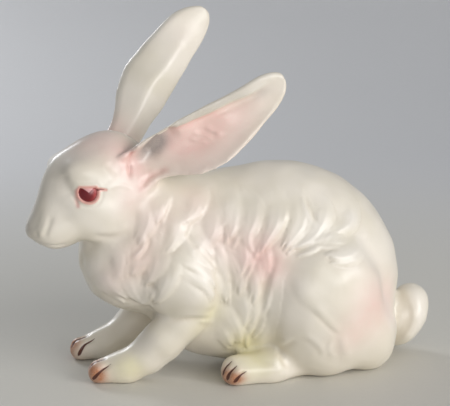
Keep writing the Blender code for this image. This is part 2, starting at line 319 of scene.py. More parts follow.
def relaxed(mesh, factor, rounds=1, region=None):
    form = bmesh.new()
    form.from_mesh(mesh)
    verts = form.verts
    if region is not None:
        form.verts.ensure_lookup_table()
        verts = [form.verts[i] for i in np.flatnonzero(region)]
    for _ in range(rounds):
        bmesh.ops.smooth_vert(
            form, verts=verts, factor=factor, use_axis_x=True, use_axis_y=True, use_axis_z=True
        )
    form.to_mesh(mesh)
    form.free()


# Evens the mesh and draws it back to the smooth form, round by round
def drawnToForm(mesh, rounds):
    for _ in range(rounds):
        relaxed(mesh, skin["ease"])
        points = pointsOf(mesh)
        for _ in range(2):
            here, slope = outward(points)
            steep = np.maximum((slope * slope).sum(axis=1), skin["leastSlope"])
            move = slope * (here / steep)[:, None]
            far = np.maximum(lengthOf(move) / skin["longestStep"], 1)
            points -= move / far[:, None]
        setPoints(mesh, points)


# Sets the points along the ears' thin edges out on their rounded rim, before the rest is drawn in
def rimsRounded(mesh):
    points = pointsOf(mesh)
    rim, inset = ears["rim"], ears["inset"]
    beyond, beside = ears["rimReach"]
    for ear in (ears["left"], ears["right"]):
        across, out = earFrame(*ear[:3])[3:]
        t, a, n, span = earPlace(points, ear)
        edge, cup = earSheet(np.clip(t, 0, 1), a, ear)
        acrossFrom, outFrom = np.abs(a) - (edge - rim - inset), n - cup
        near = (t > ears["rimFrom"]) & (t < ears["rimTo"]) & (acrossFrom > 0)
        near &= (np.abs(outFrom) < beside) & (np.abs(a) < edge + beyond)
        da, dn = acrossFrom[near], outFrom[near]
        size = np.maximum(da**2 + dn**2, 1e-6)
        reach = (inset * da + np.sqrt((inset * da) ** 2 + size * (rim**2 - inset**2))) / size
        flat = reach * da < inset
        reach[flat] = rim / np.maximum(np.abs(dn[flat]), 0.05)
        newA = np.sign(a[near]) * (edge[near] - rim - inset + reach * da)
        newCup = earSheet(np.clip(t[near], 0, 1), newA, ear)[1]
        points[near] += np.outer(newA - a[near], across) + np.outer(newCup + reach * dn - n[near], out)
    setPoints(mesh, points)


def refined(mesh, region):
    centres = np.empty(len(mesh.polygons) * 3)
    mesh.polygons.foreach_get("center", centres)
    normals = np.empty(len(mesh.polygons) * 3)
    mesh.polygons.foreach_get("normal", normals)
    wanted = region(centres.reshape(-1, 3) / unit + middle, normals.reshape(-1, 3))
    form = bmesh.new()
    form.from_mesh(mesh)
    form.faces.ensure_lookup_table()
    edges = {e for i in np.flatnonzero(wanted) for e in form.faces[i].edges}
    bmesh.ops.subdivide_edges(form, edges=list(edges), cuts=1, use_grid_fill=True)
    form.to_mesh(mesh)
    form.free()


def freshSkin():
    form = bmesh.new()
    form.from_mesh(node.data)
    bmesh.ops.remove_doubles(form, verts=form.verts, dist=unit * skin["weld"])
    mesh = bpy.data.meshes.new("rabbitSkin")
    form.to_mesh(mesh)
    form.free()
    holder = bpy.data.objects.new("holder", mesh)
    bpy.context.scene.collection.objects.link(holder)
    remesh = holder.modifiers.new("voxels", "REMESH")
    remesh.mode = "VOXEL"
    remesh.voxel_size = skin["voxel"] * unit
    graph = bpy.context.evaluated_depsgraph_get()
    even = bpy.data.meshes.new_from_object(holder.evaluated_get(graph))
    bpy.data.objects.remove(holder)
    return even


mesh = freshSkin()
for _ in range(skin["rimRounds"]):
    rimsRounded(mesh)
    relaxed(mesh, skin["ease"])
drawnToForm(mesh, skin["firstRounds"])
print("stage 2: smooth skin of", len(mesh.vertices), "points")

eye = {
    "centre": (8.15, 8.5, -1.4),  # in the head's frame: forwards, to its side, up
    "halfLength": 1.9,
    "halfHeight": 1.95,
    "lift": 0.4,
    "flatTop": 1.5,
    "bulge": 0.75,
    "sink": 0.42,
    "lid": (0.26, 0.32, 0.3),  # height, distance from the eye's edge, width; the same for the next two
    "fold": (0.12, 1.1, 0.5),
    "crease": (-0.14, 1.15, 0.4),
    "cornerDepth": 0.25,
    "corner": ((-1.6, 1.0), (-2.6, 1.1), (-3.9, 0.9)),
    "tearDuct": ((10.6, 7.3, -0.6), (10.7, 7.4, -2.2), (10.4, 7.7, -3.8)),
}

# Claw lines: places from the tip up between the toes, in the figure's measures
toes = {
    "clawWidth": 0.5,
    "gap": 0.38,
    "gapWidth": 0.6,
    "fadeIn": (0.2, 1.2),
    "lines": (
        ((-33.7, -8.9, 1.5), (-32.2, -10.0, 3.4), (-30.0, -10.2, 5.1)),
        ((-34.1, -7.6, 3.2), (-32.6, -7.6, 4.9), (-30.4, -8.1, 5.9)),
        ((-33.8, -6.3, 1.6), (-32.5, -5.3, 3.4), (-30.3, -5.2, 5.0)),
        ((-35.3, 7.8, 1.6), (-33.9, 7.5, 4.1), (-31.4, 7.6, 5.7)),
        ((-35.2, 9.6, 2.6), (-33.8, 9.7, 4.7), (-31.8, 9.8, 5.8)),
        ((-34.6, 11.2, 1.6), (-33.2, 11.8, 3.3), (-31.3, 11.8, 4.8)),
        ((-4.9, -15.5, 2.4), (-4.3, -15.7, 4.2), (-3.0, -16.1, 5.7)),
        ((-4.4, -17.0, 1.6), (-3.7, -17.5, 3.6), (-2.2, -17.8, 5.3)),
        ((-3.1, -18.4, 1.1), (-1.9, -19.0, 2.7), (-0.1, -19.0, 4.1)),
        ((-4.9, 15.5, 2.4), (-4.3, 15.7, 4.2), (-3.0, 16.1, 5.7)),
        ((-4.4, 17.0, 1.6), (-3.7, 17.5, 3.6), (-2.2, 17.8, 5.3)),
        ((-3.1, 18.4, 1.1), (-1.9, 19.0, 2.7), (-0.1, 19.0, 4.1)),
    ),
}


# Where the skin gets finer faces
fine = {
    "fur": ((-37, 7), (32, 48)),  # x and z, low and high
    "furFacing": -0.3,
    "furBehindHead": 1,
    "face": ((-4, -11.5, -15), (22, 11.5, 8)),  # in the head's frame, low and high
    "eye": 4.4,
    "toe": 2.9,
    "toeFrom": 0.4,
    "ear": ((0.0, -9.5, -6), (1.03, 9.5, 6)),  # share of the length, across and out, low and high
    "rim": ((0.06, -9.6, -3), (1.03, 9.6, 3)),
    "rimMargin": 1.8,
}


def within(q, box):
    return np.all((q > np.array(box[0])) & (q < np.array(box[1])), axis=1)


def furRegion(p, n):
    flank = within(p[:, [0, 2]], fine["fur"]) & (n[:, 1] < fine["furFacing"])
    return flank & (toHead(p)[:, 0] < fine["furBehindHead"])


def faceRegion(p, n):
    return within(toHead(p), fine["face"])


def eyeRegion(p, n):
    h = toHead(p)
    h[:, 1] = np.abs(h[:, 1])
    return lengthOf(h - np.array(eye["centre"])) < fine["eye"]


def toeRegion(p, n):
    near = np.zeros(len(p), bool)
    for line in toes["lines"]:
        near |= lengthOf(p - np.array(line[1])) < fine["toe"]
    return near & (p[:, 2] > fine["toeFrom"])


def earRegion(p, n):
    near = np.zeros(len(p), bool)
    for ear in (ears["left"], ears["right"]):
        near |= within(np.stack(earPlace(p, ear)[:3], axis=1), fine["ear"])
    return near


def rimRegion(p, margin, box):
    near = np.zeros(len(p), bool)
    for ear in (ears["left"], ears["right"]):
        t, a, out, span = earPlace(p, ear)
        edge, cup = earSheet(np.clip(t, 0, 1), a, ear)
        near |= within(np.stack([t, a, out - cup], axis=1), box) & (np.abs(a) > edge - margin)
    return near


refined(mesh, lambda p, n: furRegion(p, n) | faceRegion(p, n) | toeRegion(p, n) | earRegion(p, n))
refined(mesh, lambda p, n: eyeRegion(p, n) | toeRegion(p, n) | rimRegion(p, fine["rimMargin"], fine["rim"]))
rimsRounded(mesh)
drawnToForm(mesh, skin["lastRounds"])
print("stage 3: refined skin of", len(mesh.vertices), "points and", len(mesh.polygons), "faces")


def smoothLine(places, steps=5):
    places = np.array(places, float)
    padded = np.vstack([2 * places[0] - places[1], places, 2 * places[-1] - places[-2]])
    line = []
    for i in range(len(places) - 1):
        a, b, c, d = padded[i : i + 4]
        for s in np.arange(steps) / steps:
            cubic = (3 * b - a - 3 * c + d) * s**3
            line.append(0.5 * (2 * b + (c - a) * s + (2 * a - 5 * b + 4 * c - d) * s * s + cubic))
    return np.array(line + [places[-1]])


def nearLine(q, line):
    reach = np.concatenate([[0], np.cumsum(lengthOf(np.diff(line, axis=0)))])
    best, along, side = np.full(len(q), 1e9), np.zeros(len(q)), np.zeros(len(q))
    for i, (a, b) in enumerate(zip(line, line[1:])):
        t = np.clip((q - a) @ (b - a) / ((b - a) @ (b - a)), 0, 1)
        away = q - (a + t[:, None] * (b - a))
        distance = lengthOf(away)
        closer = distance < best
        best = np.where(closer, distance, best)
        along = np.where(closer, (reach[i] + t * (reach[i + 1] - reach[i])) / reach[-1], along)
        if q.shape[1] == 2:
            turn = (b - a)[0] * away[:, 1] - (b - a)[1] * away[:, 0]
            side = np.where(closer, np.sign(turn), side)
    return best, along, side


def closeTo(q, line, margin):
    return within(q, (line.min(axis=0) - margin, line.max(axis=0) + margin))


# Fades a line's effect in at its start and out at its end
def softEnds(along, margin=0.03, gain=1.7):
    return np.clip(np.sin(np.pi * np.clip(along, margin, 1 - margin)) * gain, 0, 1)


def ridgeRise(q, line, width, height):
    best, along, _ = nearLine(q, line)
    return height * np.exp(-((best / width) ** 2)) * softEnds(along)


# Tufts seen from the side. Each group: half width, height, sharp side, soft side's reach, and for each tuft
# the places (x, z) along its middle from root to tip; the last groups overlap the first
fur = {
    "strands": 2.3,
    "strandDepth": 0.13,
    "deepest": 0.28,
    "gap": 0.22,
    "gapWidth": 0.7,
    "underShift": 0.85,
    "underScale": 0.68,
    "midline": 5.0,
    "plainer": 0.85,
    "topFade": (48.5, 45.0),
    "breastFade": (-16, -20),
    "breastFrom": 13,
    "throatFade": (40, 36),
    "tailFrom": 38,
    "flank": (1.75, 0.55, 1, 1.2, (
        ((-4.8, 14.1), (-3.3, 10.9), (-1.8, 7.4)),
        ((-3.7, 18.6), (-2.0, 15.2), (-0.6, 12.3), (0.2, 8.1)),
        ((0.4, 20.8), (2.5, 17.8), (2.6, 14.3), (1.6, 10.5)),
        ((-2.7, 23.5), (-0.5, 20.4), (0.7, 16.9), (0.5, 12.8)),
        ((2.6, 24.7), (3.9, 21.3), (3.5, 17.2), (2.0, 13.8)),
        ((0.5, 28.6), (2.1, 26.0), (3.0, 22.3), (2.1, 18.9)),
        ((-3.5, 31.4), (-1.6, 27.5), (-0.6, 24.4), (-1.0, 20.8)),
        ((2.4, 32.1), (4.1, 29.5), (4.4, 26.4), (3.9, 23.2)),
        ((-1.5, 35.3), (0.3, 32.1), (0.5, 29.0), (-0.5, 25.7)),
    )),
    "chest": (1.9, 0.5, -1, 1.4, (
        ((-34.1, 29.3), (-33.4, 25.8), (-32.0, 23.2), (-29.3, 20.3)),
        ((-31.7, 29.9), (-30.7, 26.7), (-29.1, 23.2), (-25.9, 20.1)),
        ((-26.4, 27.9), (-25.4, 24.1), (-23.8, 20.8), (-21.4, 18.6)),
        ((-18.1, 30.7), (-17.5, 27.4), (-18.4, 23.7), (-20.4, 19.5)),
        ((-27.8, 32.5), (-27.2, 29.2), (-28.4, 25.1)),
        ((-20.4, 34.1), (-19.6, 30.7), (-20.3, 27.3), (-22.2, 23.9)),
        ((-23.6, 33.7), (-23.5, 30.1), (-25.5, 26.0)),
    )),
    "arm": (1.5, 0.5, -1, 1.5, (
        ((-8.7, 29.8), (-6.0, 26.4), (-4.5, 22.9), (-3.9, 18.6)),
        ((-14.2, 28.3), (-11.0, 26.4), (-8.6, 24.0), (-7.2, 20.5)),
        ((-14.6, 31.3), (-11.5, 29.1), (-8.6, 26.3), (-6.7, 23.0)),
        ((-9.6, 33.2), (-6.7, 30.6), (-5.0, 27.4), (-3.3, 23.5)),
        ((-13.9, 33.7), (-11.0, 31.5), (-8.6, 29.1), (-6.5, 26.2)),
        ((-12.7, 36.0), (-10.5, 34.1), (-8.3, 31.6), (-6.6, 29.3)),
    )),
    "neck": (1.9, 0.4, 1, 1.5, (
        ((-6.7, 41.1), (-5.6, 38.0), (-6.3, 35.3), (-8.3, 31.4)),
        ((-14.0, 41.6), (-13.4, 39.0), (-14.6, 35.3), (-17.4, 31.5)),
        ((-21.2, 43.9), (-20.7, 40.3), (-21.7, 36.3), (-23.6, 32.9)),
        ((-3.4, 45.2), (-1.8, 42.2), (-2.3, 39.0), (-4.4, 36.5)),
        ((-10.6, 46.3), (-9.0, 43.2), (-10.1, 40.0), (-13.4, 37.3)),
        ((-18.5, 47.7), (-17.6, 44.8), (-18.1, 41.0), (-19.3, 37.5)),
    )),
    "haunch": (2.0, 0.62, 1, 1.5, (
        ((29.4, 32.6), (26.4, 30.8), (22.9, 29.6), (19.0, 29.6)),
        ((-1.3, 43.4), (-0.8, 40.3), (-1.4, 37.1), (-2.7, 33.6)),
        ((2.8, 43.8), (3.6, 40.8), (2.8, 37.5), (1.3, 34.0), (1.9, 30.6)),
        ((26.6, 35.9), (23.6, 34.2), (20.0, 33.7), (16.4, 32.8)),
        ((24.7, 41.0), (26.2, 38.0), (25.2, 35.4), (21.7, 34.3)),
        ((7.4, 43.2), (8.5, 40.2), (7.5, 36.7), (5.5, 33.5), (3.9, 30.6)),
        ((13.5, 43.6), (14.3, 40.3), (13.9, 37.0), (11.8, 34.1), (9.1, 31.1)),
        ((18.4, 42.5), (20.0, 39.6), (18.6, 36.5), (15.7, 33.5), (11.8, 31.5)),
    )),
    "breast": (2.3, 0.45, 1, 1.0, (  # on the front of the chest: places (y, z)
        ((0.0, 22.5), (0.6, 19.0), (0.2, 15.5)),
        ((6.5, 22.0), (6.6, 18.6), (5.4, 15.8)),
        ((3.4, 27.0), (3.8, 22.6), (3.0, 18.8)),
        ((9.0, 28.5), (8.8, 24.4), (7.6, 20.8)),
        ((0.0, 32.0), (-0.6, 27.6), (0.0, 23.8)),
        ((6.4, 32.0), (6.6, 28.2), (5.6, 24.4)),
        ((3.2, 37.0), (3.6, 33.0), (2.8, 28.8)),
    )),
}


def addTuft(rise, q, line, width, height, sharpSide, soft, shift):
    near = closeTo(q, line, width * 1.9)
    best, along, side = nearLine(q[near], line)
    breadth = width * np.sqrt(np.clip(along * 3.2, 0.04, 1)) * (1.03 - along**2.6)
    reach = np.where(side * sharpSide > 0, 1.0, soft)
    u = best / breadth / reach
    swell = smoothStep(0, 0.55, along) * height
    strand = 0.5 + 0.5 * np.cos(2 * np.pi * (side * best / breadth * fur["strands"] / 2 + shift))
    crown = np.clip(1 - u * u, 0, 1) ** 0.75
    lock = swell * (crown - fur["strandDepth"] * (1 - strand**0.6) * np.clip(2 - 2 * u, 0, 1))
    outside = best - breadth * reach
    gap = fur["gap"] * swell / height * np.exp(-(((outside - 0.15) / fur["gapWidth"]) ** 2))
    gap *= np.where(side * sharpSide > 0, 1.0, 0.35) * height
    under = rise[near] - np.where(u < 1, 0, gap)
    rise[near] = np.where(u < 1, -smoothUnion(-under, -lock, 0.15), under)


def addGroup(rise, q, group):
    width, height, sharpSide, soft, lines = group
    dice = np.random.default_rng(len(lines) * 7 + 3)
    for places in lines:
        line = smoothLine(places)
        heading = np.gradient(line, axis=0)
        across = np.stack([heading[:, 1], -heading[:, 0]], axis=1) / lengthOf(heading)[:, None]
        for way in (-1, 1):
            sway = across * way * width * fur["underShift"] * np.linspace(1.0, 0.55, len(line))[:, None]
            lower = line + sway + (line[0] - line[-1]) * dice.uniform(-0.16, 0.1)
            addTuft(
                rise, q, lower, width * fur["underScale"], height * 0.7, sharpSide, soft, dice.uniform()
            )
        addTuft(
            rise, q, line, width, height * dice.uniform(0.88, 1.08),
            sharpSide, soft, dice.uniform(-0.15, 0.15),
        )


# The tail's crest: places, width and height of a soft ridge and of the dip before it
tail = {
    "crest": (((44.6, 14.8), (45.4, 12.0), (45.0, 8.5), (43.2, 4.8)), 1.3, 0.45),
    "dip": (((41.6, 15.4), (42.4, 12.0), (42.2, 8.5), (40.6, 4.6)), 1.4, -0.55),
}

# Folds on the flank: depth, width, ridge height, ridge width, side of the ridge, places (x, z)
folds = (
    (0.08, 1.0, 0.1, 1.5, 1, ((9.7, 26.4), (10.2, 23.2), (11.5, 20.2), (13.9, 17.8), (16.4, 15.2))),
    (0.17, 0.55, 0.14, 0.9, 1, ((13.6, 18.6), (15.4, 17.0), (17.0, 15.3), (18.6, 13.6),
        (19.9, 12.6), (21.2, 12.2))),
    (0.28, 0.8, 0.34, 0.6, -1, ((11.4, 10.8), (9.6, 8.8), (8.7, 7.0), (8.4, 5.6), (9.4, 4.1),
        (11.4, 3.1))),
    (0.16, 1.0, 0.14, 1.0, 1, ((20.1, 12.2), (20.5, 9.6), (21.4, 6.8), (22.6, 4.3))),
    (0.12, 0.7, 0.14, 0.8, 1, ((12.0, 11.2), (14.0, 10.2), (15.8, 8.4), (17.0, 6.0))),
    (0.09, 0.6, 0.1, 0.6, 1, ((18.6, 11.2), (17.6, 9.2), (18.3, 7.0), (20.0, 5.2))),
    (0.3, 1.0, 0.15, 1.4, 1, ((3.9, 30.0), (4.3, 27.0), (4.6, 23.4), (4.1, 19.8), (3.4, 16.0))),
    (0.4, 0.5, 0.15, 0.8, 1, ((1.0, 6.6), (2.9, 5.8), (5.3, 4.9), (9.0, 4.1))),
    (0.34, 0.6, 0.3, 0.9, 1, ((-17.4, 15.0), (-15.4, 15.5), (-13.0, 15.8), (-10.4, 15.7),
        (-6.6, 15.0))),
    (0.14, 0.7, 0.1, 0.9, 1, ((-11.0, 14.4), (-8.6, 13.6), (-6.4, 12.9))),
    (0.35, 0.5, 0.2, 0.7, -1, ((15.2, 42.4), (15.6, 40.4), (16.4, 38.2), (17.3, 36.4))),
    (0.26, 0.5, 0.22, 0.7, -1, ((-12.6, 35.3), (-11.5, 33.2), (-10.1, 31.9))),
    (0.4, 0.9, 0.3, 1.8, 1, ((7.4, 30.4), (5.0, 25.4), (4.4, 20.7), (3.8, 15.5), (2.7, 10.2),
        (2.3, 6.6))),
    (0.3, 0.6, 0.24, 1.0, -1, ((-22.0, 24.6), (-20.1, 23.0), (-20.2, 20.4), (-21.3, 18.2),
        (-23.8, 17.1))),
    (0.3, 0.5, 0.35, 0.5, -1, ((-21.6, 35.6), (-21.3, 33.2), (-22.6, 31.0), (-24.8, 29.3))),
)


def addFold(rise, q, depth, width, ridge, ridgeWidth, side, places):
    line = smoothLine(places)
    near = closeTo(q, line, 4.0)
    best, along, turn = nearLine(q[near], line)
    v = best * turn * side
    fade = softEnds(along, 0.02, 1.6)
    groove = depth * np.exp(-((v / width) ** 2))
    bank = ridge * np.exp(-(((v - width - ridgeWidth * 0.6) / ridgeWidth) ** 2)) * (v > -ridgeWidth)
    rise[near] += (bank - groove) * fade * (best < 3.9)


def furRise(points, normals):
    sideways = np.clip(np.abs(normals[:, 1]) * 1.7 - 0.15, 0, 1)
    side = np.clip(np.abs(points[:, 1]) / fur["midline"], 0, 1) * sideways
    side *= np.where(points[:, 1] > 0, fur["plainer"], 1.0)
    q = points[:, [0, 2]]
    rise = np.zeros(len(points))
    for name in ("flank", "chest", "arm", "neck", "haunch"):
        addGroup(rise, q, fur[name])
    for fold in folds:
        addFold(rise, q, *fold)
    deepest = fur["deepest"]
    rise = np.where(rise < 0, deepest * np.tanh(rise / deepest), rise)
    rise *= side * smoothStep(*fur["topFade"], points[:, 2] - 0.25 * points[:, 0])
    for places, width, height in tail.values():
        best = nearLine(q, smoothLine(places))[0]
        onTail = (points[:, 0] > fur["tailFrom"]) * np.abs(normals[:, 1])
        rise += height * np.exp(-((best / width) ** 2)) * onTail
    front = np.zeros(len(points))
    addGroup(front, np.stack([np.abs(points[:, 1]), points[:, 2]], axis=1), fur["breast"])
    facing = np.clip(-normals[:, 0] * 1.8 - 0.35, 0, 1) * smoothStep(*fur["breastFade"], points[:, 0])
    facing *= points[:, 2] > fur["breastFrom"]
    return rise + front * facing * smoothStep(*fur["throatFade"], points[:, 2])


# Forms of the face, both sides alike: places in the head's frame, width and height
face = {
    "cheekBone": (
        ((4.6, 9.3, -1.3), (3.6, 9.4, -0.4), (2.2, 9.5, 0.15), (0.6, 9.6, 0.2), (-0.8, 9.8, -0.3),
            (-1.7, 10.1, -1.2)),
        0.4, 0.16,
    ),
    "browTuft": (((5.2, 7.6, 5.2), (3.9, 8.5, 3.3), (2.9, 9.1, 2.0), (2.3, 9.3, 1.0)), 0.8, 0.13),
    "browDip": (((3.2, 8.0, 5.4), (1.6, 8.7, 3.6), (0.8, 9.1, 2.2)), 0.8, -0.14),
    "earTuft": (((0.9, 7.9, 5.9), (-0.5, 8.4, 4.2), (-1.0, 9.0, 2.5)), 0.8, 0.13),
    "earGroove": (((-3.4, 8.4, 8.2), (-2.4, 8.7, 6.9), (-2.1, 8.5, 4.2), (-1.6, 9.3, 1.6)), 0.42, -0.5),
    "noseWing": (((16.7, 4.9, -7.2), (17.6, 4.6, -9.2), (18.3, 4.0, -10.8)), 0.55, 0.28),
    "noseGroove": (((15.6, 5.0, -5.6), (16.5, 5.1, -7.6), (17.1, 4.9, -9.3),
        (17.6, 4.5, -10.9)), 0.7, -0.38),
    "noseBridge": (((17.6, 2.4, -4.6), (18.5, 2.6, -7.2), (19.3, 2.4, -9.4)), 0.8, -0.18),
    "nostril": (((18.6, 2.9, -10.0), (18.5, 3.4, -10.7)), 0.4, -0.4),
    "philtrum": (((19.9, 0.0, -9.9), (19.0, 0.0, -11.8), (17.2, 0.0, -13.6)), 0.35, -0.35),
    "mouth": (((18.4, 0.6, -12.0), (16.6, 3.2, -12.6), (13.8, 4.5, -13.2),
        (11.6, 4.9, -13.0)), 0.35, -0.32),
    "eyeValley": (((13.2, 4.7, 3.0), (12.5, 5.5, 1.0), (12.0, 6.1, -0.4),
        (11.7, 6.6, -1.8)), 1.3, -0.4),
    "muzzleDip": (((12.4, 6.4, -3.4), (12.8, 6.2, -6.0), (13.2, 6.2, -8.0)), 1.3, -0.08),
    "jaw": (
        ((7.6, 7.5, -10.6), (6.2, 8.0, -11.1), (3.0, 8.2, -11.9), (0.1, 8.9, -11.7),
            (-2.4, 9.5, -9.9)), 1.1, -0.34,
    ),
    "jawEdge": (((7.0, 8.0, -9.4), (4.4, 8.6, -10.0), (1.4, 9.2, -10.0), (-1.0, 9.8, -8.6)), 0.9, 0.22),
    "tearDuct": (eye["tearDuct"], 0.35, -0.2),
    "earFoot": (
        ((-3.8, 10.2, -0.8), (-5.2, 9.9, 0.5), (-6.9, 9.7, 1.6), (-8.6, 10.2, 2.4), (-9.8, 10.8, 2.8)),
        0.8, -0.32,
    ),
}


def faceRise(points):
    h = toHead(points)
    h[:, 1] = np.abs(h[:, 1])
    rise = np.zeros(len(points))
    for places, width, height in face.values():
        line = smoothLine(places)
        near = closeTo(h, line, width * 3)
        rise[near] += ridgeRise(h[near], line, width, height)
    return rise


# Forms inside the ears: places are share of the length and distance across, then width and height
earForms = {
    "hollow": (((0.08, 0.0), (0.12, 0.8), (0.17, 1.8), (0.25, 2.6), (0.34, 2.8)), 1.7, -1.5),
    "rolledRim": (
        ((0.24, 4.2), (0.34, 3.6), (0.43, 3.0), (0.51, 2.45), (0.66, 1.85), (0.76, 1.3),
            (0.84, 1.15), (0.92, 1.5)),
        0.6, 0.42,
    ),
    "underRim": (
        ((0.28, 2.6), (0.36, 2.2), (0.43, 1.7), (0.51, 1.15), (0.66, 0.5), (0.76, 0.0),
            (0.84, 0.0), (0.9, 0.3)),
        0.85, -0.5,
    ),
    "tuftHigh": (((0.462, -0.4), (0.479, -1.24), (0.511, -2.92), (0.54, -3.8)), 0.45, 0.34),
    "tuftMiddle": (((0.385, -0.1), (0.399, -0.73), (0.442, -2.21), (0.47, -3.8)), 0.45, 0.36),
    "tuftLow": (((0.358, -0.6), (0.374, -1.47), (0.403, -2.58), (0.44, -3.7)), 0.42, 0.3),
    "foot": (((0.05, -2.6), (0.1, -3.5), (0.16, -4.2), (0.24, -4.7)), 1.2, 0.22),
    "lowerDip": (((0.26, -5.0), (0.36, -6.1), (0.46, -6.6), (0.6, -6.1), (0.75, -4.7),
        (0.86, -3.5)), 1.3, -0.12),
}
earBack = (((0.14, -1.2), (0.22, -0.36), (0.39, 1.2), (0.6, 0.6), (0.75, 0.0)), 1.6, 0.4)


def earRise(points):
    rise = np.zeros(len(points))
    for ear in (ears["left"], ears["right"]):
        t, a, n, span = earPlace(points, ear)
        cup = earSheet(np.clip(t, 0, 1), a, ear)[1]
        here = (t > -0.05) & (t < 1.05) & (np.abs(a) < 10) & (np.abs(n - cup) < 3.4)
        inside = smoothStep(-0.4, 0.5, n - cup) * here
        back = smoothStep(0.4, -0.5, n - cup) * here
        q = np.stack([t * span, a], axis=1)
        forms = [(form, inside) for form in earForms.values()] + [(earBack, back)]
        for (places, width, height), here in forms:
            line = smoothLine([(s * span, c) for s, c in places])
            rise += ridgeRise(q, line, width, height) * here
    return rise


def onSkin(places):
    places = np.array(places, float)
    for _ in range(4):
        here, slope = outward(places)
        places -= slope * (here / np.maximum((slope * slope).sum(axis=1), 0.2))[:, None]
    return places


def toeRise(points):
    rise = np.zeros(len(points))
    claw = np.full(len(points), 3.0)
    for places in toes["lines"]:
        line = onSkin(smoothLine(places))
        near = closeTo(points, line, 3.0)
        best, along, _ = nearLine(points[near], line)
        fade = np.clip(np.sin(np.pi * np.clip(along * 0.92 + 0.06, 0.02, 0.98)) * 1.5, 0, 1)
        rise[near] -= toes["gap"] * np.exp(-((best / toes["gapWidth"]) ** 2)) * fade
        halfWidth = toes["clawWidth"] * np.sqrt(np.clip(along * 5 + 0.2, 0, 1)) * (1.0 - 0.9 * along**1.3)
        claw[near] = np.minimum(claw[near], best - halfWidth)
    return rise, claw


# The slight waviness of a cast and fettled skin
waves = {"seed": 11, "count": 9, "steepness": (0.45, 1.1), "height": 0.035, "fadeIn": (0.5, 4.0)}


def waviness(points):
    dice = np.random.default_rng(waves["seed"])
    total = np.zeros(len(points))
    for _ in range(waves["count"]):
        ray = dice.normal(size=3)
        ray *= dice.uniform(*waves["steepness"]) / np.linalg.norm(ray)
        total += np.sin(points @ ray + dice.uniform(0, 6.28))
    return total * waves["height"] * smoothStep(*waves["fadeIn"], points[:, 2])


def eyeFields(points):
    h = toHead(points)
    a = h[:, 0] - eye["centre"][0]
    b = h[:, 2] - eye["centre"][2]
    near = (np.abs(h[:, 1]) > 4.0) & (np.hypot(a, b) < 5.5)
    lifted = b - eye["lift"]
    ring = (np.hypot(a / eye["halfLength"], lifted / eye["halfHeight"]) - 1) * eye["halfHeight"]
    edge = np.maximum(ring, b - eye["flatTop"])
    return near, a, b, edge, h[:, 1]


def eyeSculpt(mesh):
    points = pointsOf(mesh)
    near, a, b, edge, sideways = eyeFields(points)
    lifted = b - eye["lift"]
    dome = np.clip(1 - (a / eye["halfLength"]) ** 2 - (lifted / eye["halfHeight"]) ** 2, 0, 1)
    ball = eye["bulge"] * dome - eye["sink"]
    upper = smoothStep(0.4, 1.4, b)
    lid, fold, crease = (
        height * np.exp(-(((edge - at) / width) ** 2))
        for height, at, width in (eye["lid"], eye["fold"], eye["crease"])
    )
    lid = lid + fold * upper
    crease = crease * (1 - upper)
    corner = smoothLine(eye["corner"])
    best, along, _ = nearLine(np.stack([a, b], axis=1), corner)
    wedge = -eye["cornerDepth"] * np.exp(-((best / (0.42 - 0.25 * along)) ** 2)) * (edge > 0)
    inside = smoothStep(0.1, -0.1, edge)
    move = np.where(near, inside * ball + (1 - inside) * (lid + crease + wedge), 0)
    toSide = np.where(sideways < 0, -1.0, 1.0)
    points += (headFrame() @ np.stack([0.12 * move, 0.98 * move * toSide, 0.05 * move])).T
    setPoints(mesh, points)
    cornerEdge = best - (0.36 - 0.3 * along)
    return np.where(near, edge, 9.0), np.where(near, cornerEdge, 9.0), a, b


def insideCad(points):
    low, high = (np.array(v) / unit + middle for v in (cadLow, cadHigh))
    return np.clip(points, low, high)


def sculpt(mesh):
    points = pointsOf(mesh)
    normals = outward(points)[1]
    normals /= lengthOf(normals)[:, None]
    hair = furRise(points, normals)
    toe, claw = toeRise(points)
    toe *= smoothStep(*toes["fadeIn"], points[:, 2])
    rise = hair + faceRise(points) + earRise(points) + toe + waviness(points)
    setPoints(mesh, points + normals * rise[:, None])
    relaxed(mesh, skin["lastEase"])
    relaxed(mesh, skin["ease"], skin["rimRounds"], rimRegion(points, skin["rimMargin"], skin["rimBox"]))
    setPoints(mesh, insideCad(pointsOf(mesh)))
    return hair, claw


start = pointsOf(mesh)
hair, claw = sculpt(mesh)
print("stage 4: fur, face, ears and toes")
eyeEdge, cornerEdge, eyeA, eyeB = eyeSculpt(mesh)
print("stage 5: eyes")

